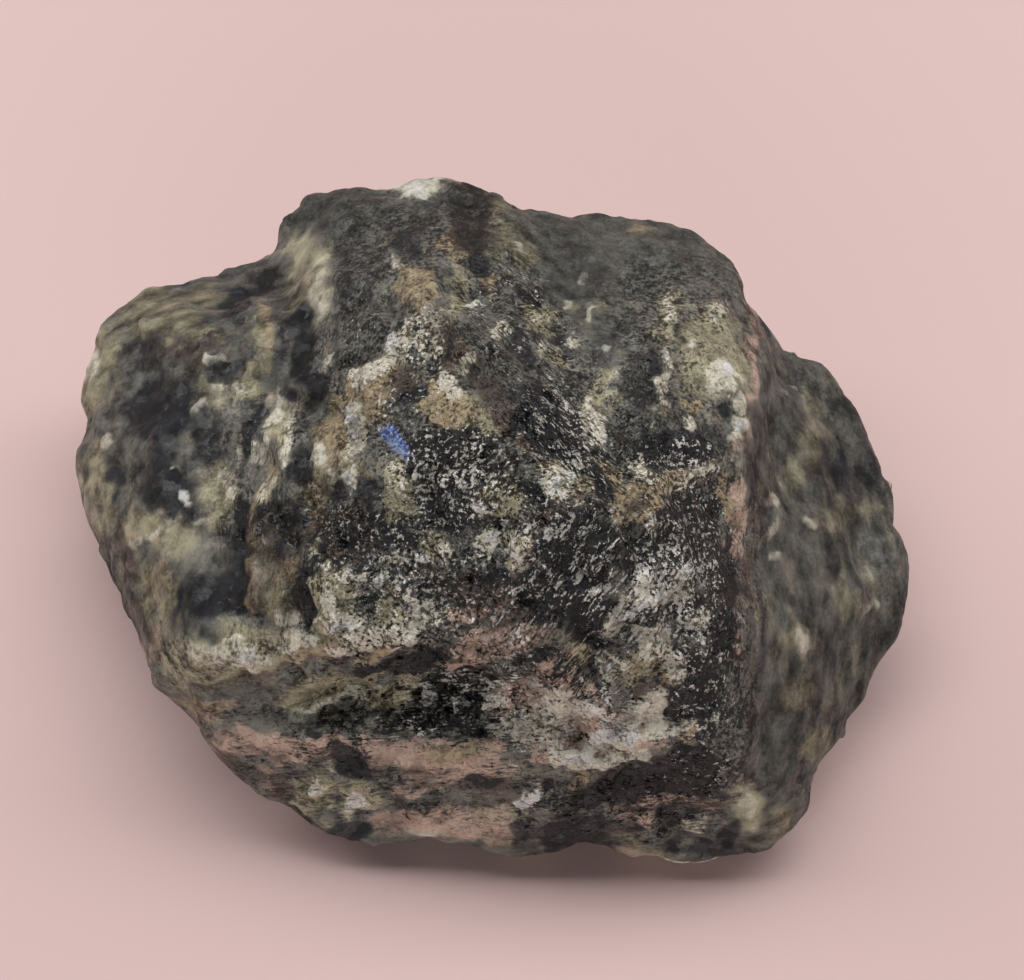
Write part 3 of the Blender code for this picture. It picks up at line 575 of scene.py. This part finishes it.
def brokenSurfaceTree():
    tree = bpy.data.node_groups.new("brokenSurface", "GeometryNodeTree")
    addSocket(tree, "Geometry", "Geometry")
    for name in ("blockSize", "blockTilt", "flakeSize", "flakeTilt", "chipSize", "chipHeight",
                 "calmShare", "streakSize", "streakHeight", "calmHeight", "seed"):
        addSocket(tree, name, "Float", mm)
    addSocket(tree, "finish", "Material")
    addSocket(tree, "Geometry", "Geometry", output=True)
    given = tree.nodes.new("NodeGroupInput").outputs
    place = tree.nodes.new("GeometryNodeInputPosition").outputs[0]
    outward = tree.nodes.new("GeometryNodeInputNormal").outputs[0]
    seedShift = vectorOut(tree, "SCALE", (1.7, 2.9, 4.3), given["seed"])

    def placeIn(size):
        # coordinates for a pattern of this size: one unit is one feature
        scaled = vectorOut(tree, "SCALE", place, mathOut(tree, "DIVIDE", 1.0, size))
        return vectorOut(tree, "ADD", scaled, seedShift)

    # small lumps
    chips = centred(tree, noiseOut(tree, placeIn(given["chipSize"]), 1.0, 3.0, 0.55), given["chipHeight"])
    chips = times(tree, chips, 2.0)

    def leaning(size, tilt):
        # each cell leans by its own random slope, with a groove round it
        cellPlace = placeIn(size)
        bent = noiseOut(tree, cellPlace, 0.8, 2.0, 0.5, "Color")
        bent = vectorOut(tree, "SCALE", bent, stoneShape["cellBend"])
        cellPlace = vectorOut(tree, "ADD", cellPlace, bent)
        cell = cellNode(tree, cellPlace, 1.0)
        lean = vectorOut(tree, "SUBTRACT", cell.outputs["Color"], (0.5, 0.5, 0.5))
        aside = vectorOut(tree, "SUBTRACT", cellPlace, cell.outputs["Position"])
        rise = times(tree, vectorOut(tree, "DOT_PRODUCT", lean, aside), tilt)
        rise = times(tree, times(tree, rise, size), 2.0)
        edge = cellNode(tree, cellPlace, 1.0, "DISTANCE_TO_EDGE").outputs["Distance"]
        whole = rampOut(tree, edge, 0.0, stoneShape["grooveWidth"])
        depth = times(tree, size, stoneShape["grooveDepth"])
        groove = times(tree, mathOut(tree, "SUBTRACT", whole, 1.0), depth)
        return mathOut(tree, "MULTIPLY_ADD", rise, whole, groove)

    flakes = leaning(given["flakeSize"], given["flakeTilt"])
    blocks = leaning(given["blockSize"], given["blockTilt"])

    # streaks run along their own direction where their layer is strong
    streaks = 0.0
    for layerName, direction in streakDirections().items():
        drawn = drawnOut(tree, placeIn(given["streakSize"]), direction, stoneShape["streakStretch"])
        ridge = centred(tree, noiseOut(tree, drawn, 1.0, 3.0, 0.6), storedOut(tree, layerName))
        streaks = mathOut(tree, "ADD", streaks, ridge)
    streaks = times(tree, times(tree, streaks, given["streakHeight"]), 2.0)

    standing = times(tree, storedOut(tree, "standing"), mm)
    rugged = between(tree, storedOut(tree, "rugged"), given["calmShare"], 1.0)
    total = times(tree, added(tree, chips, flakes, blocks), rugged)
    total = added(tree, total, streaks, standing)
    height = tree.nodes.new("ShaderNodeSeparateXYZ")
    feed(tree, height.inputs[0], place)
    calm = rampOut(tree, height.outputs["Z"], 0.0, given["calmHeight"])
    total = times(tree, total, calm)

    moved = tree.nodes.new("GeometryNodeSetPosition")
    feed(tree, moved.inputs["Geometry"], given["Geometry"])
    feed(tree, moved.inputs["Offset"], vectorOut(tree, "SCALE", outward, total))
    # the height is kept as rise, which the material uses to paint shade into the hollows
    noted = tree.nodes.new("GeometryNodeStoreNamedAttribute")
    noted.data_type = "FLOAT"
    noted.inputs["Name"].default_value = "rise"
    feed(tree, noted.inputs["Geometry"], moved.outputs[0])
    feed(tree, noted.inputs["Value"], times(tree, total, 1.0 / mm))
    real = tree.nodes.new("GeometryNodeRealizeInstances")
    feed(tree, real.inputs[0], noted.outputs[0])
    finished = tree.nodes.new("GeometryNodeSetMaterial")
    feed(tree, finished.inputs["Geometry"], real.outputs[0])
    feed(tree, finished.inputs["Material"], given["finish"])
    feed(tree, tree.nodes.new("NodeGroupOutput").inputs[0], finished.outputs[0])
    return tree


def streakDirections():
    # each streak layer's direction in space, from its turn as read from the front
    turns = {"downRight": -57.0, "downLeft": 54.0, "level": 6.0, "upright": 84.0}
    right = Vector((1.0, 0.0, 0.0))
    found = {}
    for name, turn in turns.items():
        bend = math.radians(turn)
        found[name] = tuple(right * math.cos(bend) + viewUp * math.sin(bend))
    return found


def drawnOut(tree, place, direction, stretch):
    # coordinates squeezed along a direction, so that a pattern on them is drawn out along it
    along = vectorOut(tree, "DOT_PRODUCT", place, direction)
    taken = times(tree, along, 1.0 - 1.0 / stretch)
    return vectorOut(tree, "SUBTRACT", place, vectorOut(tree, "SCALE", direction, taken))


def runTree(mesh, tree, values, name):
    draft = addObject(name + "Draft", mesh)
    modifier = draft.modifiers.new("relief", "NODES")
    modifier.node_group = tree
    for item in tree.interface.items_tree:
        if item.in_out == "INPUT" and item.name in values:
            modifier[item.identifier] = values[item.name]
    ready = draft.evaluated_get(bpy.context.evaluated_depsgraph_get())
    made = bpy.data.meshes.new_from_object(ready)
    bpy.data.objects.remove(draft)
    return addObject(name, made)


def makeStone():
    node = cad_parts["labradorite_chunk"]
    mesh = refinedCopy(node)
    print("stone refined:", len(mesh.polygons), "triangles")
    paintFields(mesh)
    print("mineral fields painted")
    values = {name: stoneShape[name] for name in ("blockTilt", "flakeTilt", "calmShare", "seed")}
    for name in ("block", "flake", "chip", "streak"):
        values[name + "Size"] = stoneShape[name + "Mm"] * mm
    values["chipHeight"] = stoneShape["chipHeightMm"] * mm
    values["streakHeight"] = stoneShape["streakHeightMm"] * mm
    values["calmHeight"] = stoneShape["calmMm"] * mm
    values["finish"] = stoneMaterial()
    stone = runTree(mesh, brokenSurfaceTree(), values, "labradoriteStone")
    stone.data.shade_smooth()
    print("stone surface broken:", len(stone.data.polygons), "triangles")
    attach(stone, "root")
    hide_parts("labradorite_chunk")
    return stone


# The stone's colours, each mineral from its dark to its pale grains; the fleck and white colours also carry
# painted glints and highlights, and the blue is a painted sheen.

stoneColours = {
    "dark": (colour(22, 24, 24), colour(131, 130, 121)),
    "olive": (colour(62, 57, 41), colour(188, 181, 150)),
    "tan": (colour(68, 57, 41), colour(190, 173, 140)),
    "umber": (colour(27, 23, 20), colour(120, 105, 93)),
    "rose": (colour(55, 43, 37), colour(216, 188, 169)),
    "cream": (colour(92, 88, 71), colour(240, 234, 214)),
    "black": (colour(5, 6, 7), colour(50, 52, 54)),
    "whiteAndHighlight": (colour(140, 139, 134), colour(246, 244, 238)),
    "paintedBlueSheen": (colour(50, 72, 146), colour(160, 182, 222)),
    "fleckAndGlint": (colour(182, 178, 166), colour(255, 252, 244)),
}

stoneGrain = {
    # sizes in mm
    "crystalMm": 1.5,
    "smallCrystalMm": 0.52,
    "cloudMm": 2.4,
    "toneCloudMm": 1.7,
    "cloudStretch": 2.2,
    "grainMm": 0.42,
    "fleckAndGlintMm": 0.65,
    "fleckAndGlintStretch": 3.5,
    "bendMm": 1.1,
    "bendReachMm": 1.3,
    "streakMm": 0.26,
    "streakStretch": 6.0,
    # how steep the crystals' own faces lie, and how high the finest grain stands
    "crystalSlope": 0.36,
    "smallCrystalSlope": 0.50,
    "grainHeightMm": 0.10,
    # these pairs go from smooth to granular stone: how crisp the grains are, how far the clouds
    # are drawn to the crystals' middles, how ragged the clouds are, how much they change the tone
    "crisp": (0.16, 1.7),
    "hold": (0.0, 0.42),
    "ragged": (0.48, 0.72),
    "toneClouds": (1.2, 2.3),
    "calmTone": 0.7,        # how much less they change it on the calm plates
    # how much of each goes into the edges, the tone and the flecks, which are pale grains and painted glints
    "edgeCloud": 1.8,
    "edgeFine": 0.9,
    "edgeCrystal": 0.14,
    "toneFine": 3.4,
    "toneCrystal": 0.30,
    "toneSmallCrystal": 0.42,
    "fleckAndGlintFine": 0.85,
    "fleckAndGlintSpots": 1.0,
    "fleckAndGlintCloud": 0.42,
}


def perMm(name):
    # a texture scale that makes its features this size
    return 1.0 / (stoneGrain[name] * mm)


def channels(tree, value):
    made = tree.nodes.new("ShaderNodeSeparateColor")
    feed(tree, made.inputs[0], value)
    return made.outputs


def attributeOut(tree, name):
    made = tree.nodes.new("ShaderNodeAttribute")
    made.attribute_name = name
    return made.outputs["Fac"]


def crystalCells(tree, place, sizeName, slopeName):
    # random numbers for each crystal, where its middle is, and the slope of its own broken face
    cells = cellNode(tree, place, perMm(sizeName))
    lean = vectorOut(tree, "SUBTRACT", cells.outputs["Color"], (0.5, 0.5, 0.5))
    middle = cells.outputs["Position"]
    aside = vectorOut(tree, "SUBTRACT", place, middle)
    slope = vectorOut(tree, "DOT_PRODUCT", lean, aside)
    face = times(tree, slope, 2.0 * stoneGrain[slopeName])
    return channels(tree, cells.outputs["Color"]), middle, face


def fabricDirection(tree):
    # the direction of the strongest streak layer here, and how strong it is
    direction = (0.0, 0.0, 0.0)
    strongest = 0.0
    for layerName, toward in streakDirections().items():
        strength = attributeOut(tree, layerName)
        wins = mathOut(tree, "GREATER_THAN", strength, strongest)
        turned = vectorOut(tree, "SUBTRACT", toward, direction)
        direction = vectorOut(tree, "ADD", direction, vectorOut(tree, "SCALE", turned, wins))
        strongest = mathOut(tree, "MAXIMUM", strength, strongest)
    return direction, strongest


def crystalGroup():
    # the mosaic of grains: how the minerals' edges wander, how pale each grain is, where the pale flecks and
    # painted glints lie, and its relief
    tree = bpy.data.node_groups.new("crystalGrains", "ShaderNodeTree")
    addSocket(tree, "Place", "Vector")
    for name in ("Wander 1", "Wander 2", "Wander 3", "Tone", "Relief", "Fleck And Glint", "Gloss", "Sharpness"):
        addSocket(tree, name, "Float", output=True)
    place = tree.nodes.new("NodeGroupInput").outputs["Place"]
    granular = attributeOut(tree, "granular")
    crisp = between(tree, granular, *stoneGrain["crisp"])
    direction, fabric = fabricDirection(tree)

    def crisply(value, amountName):
        return times(tree, centred(tree, value, stoneGrain[amountName]), crisp)

    # the crystals are bent out of their straight-sided shapes
    bend = noiseOut(tree, place, perMm("bendMm"), 3.0, 0.6, "Color")
    bend = vectorOut(tree, "SUBTRACT", bend, (0.5, 0.5, 0.5))
    bent = vectorOut(tree, "ADD", place, vectorOut(tree, "SCALE", bend, stoneGrain["bendReachMm"] * mm))
    crystal, middle, crystalFace = crystalCells(tree, bent, "crystalMm", "crystalSlope")
    small, smallMiddle, smallFace = crystalCells(tree, bent, "smallCrystalMm", "smallCrystalSlope")

    # where the stone is granular the clouds are read nearer the crystals' own middles
    hold = between(tree, granular, *stoneGrain["hold"])
    toMiddle = vectorOut(tree, "SUBTRACT", vectorOut(tree, "ADD", middle, smallMiddle), bent)
    toMiddle = vectorOut(tree, "SUBTRACT", toMiddle, bent)
    snapped = vectorOut(tree, "ADD", place, vectorOut(tree, "SCALE", toMiddle, hold))
    drawn = drawnOut(tree, snapped, direction, stoneGrain["cloudStretch"])
    ragged = between(tree, granular, *stoneGrain["ragged"])
    clouds = channels(tree, noiseOut(tree, drawn, perMm("cloudMm"), 6.0, ragged, "Color"))
    toneCloud = noiseOut(tree, drawn, perMm("toneCloudMm"), 5.0, ragged)
    grain = noiseOut(tree, place, perMm("grainMm"), 3.0, 0.65)
    fibres = drawnOut(tree, place, direction, stoneGrain["streakStretch"])
    fibres = noiseOut(tree, fibres, perMm("streakMm"), 3.0, 0.65)
    # fibres where the stone is streaky, grains elsewhere
    fine = mathOut(tree, "SUBTRACT", mixOut(tree, fabric, grain, fibres, "FLOAT"), 0.5)
    finePart = times(tree, fine, crisp)

    made = {"Gloss": crystal[2], "Sharpness": crisp}
    for number in range(3):
        made["Wander %d" % (number + 1)] = added(
            tree, 0.5, centred(tree, clouds[number], stoneGrain["edgeCloud"]),
            times(tree, finePart, stoneGrain["edgeFine"]),
            crisply(crystal[number], "edgeCrystal"))
    steady = between(tree, granular, *stoneGrain["toneClouds"])
    steady = mathOut(tree, "MULTIPLY_ADD", attributeOut(tree, "calm"), -stoneGrain["calmTone"], steady)
    made["Tone"] = added(
        tree, 0.5, centred(tree, toneCloud, steady),
        times(tree, finePart, stoneGrain["toneFine"]),
        crisply(crystal[1], "toneCrystal"), crisply(small[1], "toneSmallCrystal"))
    # the pattern of the pale flecks and painted glints, drawn out along the fabric
    flecksAndGlints = drawnOut(tree, snapped, direction, stoneGrain["fleckAndGlintStretch"])
    flecksAndGlints = noiseOut(tree, flecksAndGlints, perMm("fleckAndGlintMm"), 4.0, 0.75)
    made["Fleck And Glint"] = added(
        tree, 0.5, times(tree, finePart, stoneGrain["fleckAndGlintFine"]),
        crisply(flecksAndGlints, "fleckAndGlintSpots"), crisply(clouds[2], "fleckAndGlintCloud"))
    faces = times(tree, mathOut(tree, "ADD", crystalFace, smallFace), crisp)
    grainHeight = 2.0 * stoneGrain["grainHeightMm"] * mm
    made["Relief"] = added(tree, faces, times(tree, finePart, grainHeight))
    result = tree.nodes.new("NodeGroupOutput")
    for name, value in made.items():
        feed(tree, result.inputs[name], value)
    return tree


def mineralGroup():
    # lays one mineral over what is under it, with a ragged, wandering edge
    tree = bpy.data.node_groups.new("mineralPatch", "ShaderNodeTree")
    for name in ("Under", "Dark Grain", "Pale Grain"):
        addSocket(tree, name, "Color")
    for name in ("Field", "Wander", "Reach", "Edge", "Tone"):
        addSocket(tree, name, "Float", 0.5)
    addSocket(tree, "Color", "Color", output=True)
    given = tree.nodes.new("NodeGroupInput").outputs
    level = mathOut(tree, "ADD", given["Field"], centred(tree, given["Wander"], given["Reach"]))
    low = mathOut(tree, "SUBTRACT", 0.5, given["Edge"])
    high = mathOut(tree, "ADD", 0.5, given["Edge"])
    covered = rampOut(tree, level, low, high)
    mineral = mixOut(tree, given["Tone"], given["Dark Grain"], given["Pale Grain"])
    result = tree.nodes.new("NodeGroupOutput")
    feed(tree, result.inputs["Color"], mixOut(tree, covered, given["Under"], mineral))
    return tree


mineralOrder = (
    # each mineral lies over those before it: which clouds move its edge and how far, how soft
    # it is, how much of its patches it fills, how much of it is scattered everywhere, and how
    # far the pale zones keep it out
    ("olive", 1, 0.95, 0.20, 0.98, 0.14, 0.0), ("rose", 2, 0.95, 0.20, 1.0, 0.02, 0.0),
    ("tan", 3, 0.90, 0.15, 1.0, 0.06, 0.0), ("umber", 2, 0.90, 0.20, 0.98, 0.10, 0.16),
    ("cream", 1, 0.90, 0.13, 1.0, 0.03, 0.0), ("black", 3, 0.90, 0.12, 0.98, 0.10, 0.16),
    ("whiteAndHighlight", 2, 0.85, 0.13, 1.0, 0.0, 0.0), ("paintedBlueSheen", 3, 0.3, 0.24, 1.0, 0.0, 0.0),
)


stoneFinish = {
    "paleLift": 0.50,             # how far the pale and the deep zones shift the tone
    "deepDrop": 0.36,
    "toneRange": (0.14, 1.0),
    "calmStill": 0.35,            # little is scattered over the calm plates
    "edgeSoftness": (2.2, 0.6),   # of the patches, from smooth to granular stone
    "fleckAndGlintLeast": 0.82,           # the flecks, pale grains and painted glints, show where their pattern passes this, less in their layer
    "fleckAndGlintGain": 0.26,
    "fleckAndGlintEdge": 0.04,
    "hollowShadeMm": (-0.28, 0.10),    # painted shade: the heights that darken the hollows, how much, and to what
    "hollowShadeShare": 0.6,
    "paintedHollowShadeColour": colour(14, 13, 13),
    "glossFrom": (0.25, 0.75),    # some crystals are glassy, most are dull
    "roughness": (0.16, 0.62),
    "smoothDull": 0.30,           # the smoother stone has no glassy ones
    "specular": 0.5,
}


def stoneMaterial():
    material = bpy.data.materials.new("roughLabradorite")
    material.use_nodes = True
    tree = material.node_tree
    surface = tree.nodes["Principled BSDF"]
    grains = tree.nodes.new("ShaderNodeGroup")
    grains.node_tree = crystalGroup()
    feed(tree, grains.inputs["Place"], tree.nodes.new("ShaderNodeTexCoord").outputs["Object"])
    grains = grains.outputs
    lift = times(tree, attributeOut(tree, "pale"), stoneFinish["paleLift"])
    lift = mathOut(tree, "MULTIPLY_ADD", attributeOut(tree, "deep"), -stoneFinish["deepDrop"], lift)
    tone = rampOut(tree, mathOut(tree, "ADD", grains["Tone"], lift), *stoneFinish["toneRange"])
    still = times(tree, attributeOut(tree, "calm"), stoneFinish["calmStill"])
    softness = rampOut(tree, grains["Sharpness"], *stoneGrain["crisp"], *stoneFinish["edgeSoftness"])
    patchGroup = mineralGroup()
    result = mixOut(tree, tone, *stoneColours["dark"])
    for name, clouds, reach, edge, fill, scatter, shun in mineralOrder:
        patch = tree.nodes.new("ShaderNodeGroup")
        patch.node_tree = patchGroup
        field = mathOut(tree, "MULTIPLY_ADD", attributeOut(tree, name), fill - scatter, scatter)
        field = mathOut(tree, "SUBTRACT", field, still)
        given = {
            "Under": result,
            "Field": mathOut(tree, "MULTIPLY_ADD", attributeOut(tree, "pale"), -shun, field),
            "Wander": grains["Wander %d" % clouds],
            "Reach": reach,
            "Edge": times(tree, softness, edge),
            "Dark Grain": stoneColours[name][0],
            "Pale Grain": stoneColours[name][1],
            "Tone": tone,
        }
        for socketName, value in given.items():
            feed(tree, patch.inputs[socketName], value)
        result = patch.outputs["Color"]

    # fine pale flecks, partly pale grains and partly painted glints off cleavage faces, thickest where their
    # layer is strong
    least = attributeOut(tree, "grain")
    least = mathOut(tree, "MULTIPLY_ADD", least, -stoneFinish["fleckAndGlintGain"], stoneFinish["fleckAndGlintLeast"])
    fleckAndGlintMask = rampOut(tree, grains["Fleck And Glint"], least, mathOut(tree, "ADD", least, stoneFinish["fleckAndGlintEdge"]))
    result = mixOut(tree, fleckAndGlintMask, result, mixOut(tree, tone, *stoneColours["fleckAndGlint"]))
    # painted shade: the hollows are darkened by their height
    shade = attributeOut(tree, "rise")
    shade = rampOut(tree, shade, *stoneFinish["hollowShadeMm"], stoneFinish["hollowShadeShare"], 1.0)
    result = mixOut(tree, shade, stoneFinish["paintedHollowShadeColour"], result)
    feed(tree, surface.inputs["Base Color"], result)

    gloss = rampOut(tree, grains["Gloss"], *stoneFinish["glossFrom"], *stoneFinish["roughness"])
    dull = rampOut(tree, grains["Sharpness"], stoneGrain["crisp"][0], 1.0, stoneFinish["smoothDull"], 0.0)
    feed(tree, surface.inputs["Roughness"], mathOut(tree, "ADD", gloss, dull))

    bump = tree.nodes.new("ShaderNodeBump")
    bump.inputs["Strength"].default_value = 1.0
    bump.inputs["Distance"].default_value = 1.0
    feed(tree, bump.inputs["Height"], grains["Relief"])
    feed(tree, surface.inputs["Normal"], bump.outputs[0])
    surface.inputs["Specular IOR Level"].default_value = stoneFinish["specular"]
    return material


# The plain pale surface under the stone.

floorLook = {
    "sizeM": 6.0,
    "colour": colour(235, 205, 201),
    "roughness": 0.75,
}


def makeFloor():
    sheet = bmesh.new()
    bmesh.ops.create_grid(sheet, x_segments=1, y_segments=1, size=floorLook["sizeM"] / 2.0)
    mesh = bpy.data.meshes.new("paleFloor")
    sheet.to_mesh(mesh)
    sheet.free()
    material = bpy.data.materials.new("palePink")
    material.use_nodes = True
    surface = material.node_tree.nodes["Principled BSDF"]
    surface.inputs["Base Color"].default_value = floorLook["colour"]
    surface.inputs["Roughness"].default_value = floorLook["roughness"]
    mesh.materials.append(material)
    floor = addObject("paleFloor", mesh)
    floor.location.z = cadBox[0][2]


lightRig = {
    # where each lamp stands (m), its width and depth (m), power (W) and colour
    "window": ((0.0, 0.47, 0.97), (3.2, 0.45), 20.6, (1.0, 0.975, 0.97)),
    "room": ((-0.10, -1.40, 0.28), (1.2, 0.4), 6.6, (1.0, 0.98, 0.975)),
}
roomLight = {"colour": (1.0, 0.955, 0.95, 1.0), "strength": 0.04}


def makeLights():
    for name, (where, size, power, tint) in lightRig.items():
        lamp = bpy.data.lights.new(name, "AREA")
        lamp.shape = "RECTANGLE"
        lamp.size, lamp.size_y = size
        lamp.energy = power
        lamp.color = tint
        holder = addObject(name, lamp)
        holder.location = where
        holder.rotation_euler = (-Vector(where)).to_track_quat("-Z", "Y").to_euler()
    world = bpy.data.worlds.new("softRoom")
    world.use_nodes = True
    around = world.node_tree.nodes["Background"].inputs
    around["Color"].default_value = roomLight["colour"]
    around["Strength"].default_value = roomLight["strength"]
    bpy.context.scene.world = world
    bpy.context.scene.view_settings.view_transform = "Standard"


makeCamera()
print("camera set")
makeLights()
makeFloor()
print("lights and floor set")
makeStone()
bpy.context.view_layer.update()
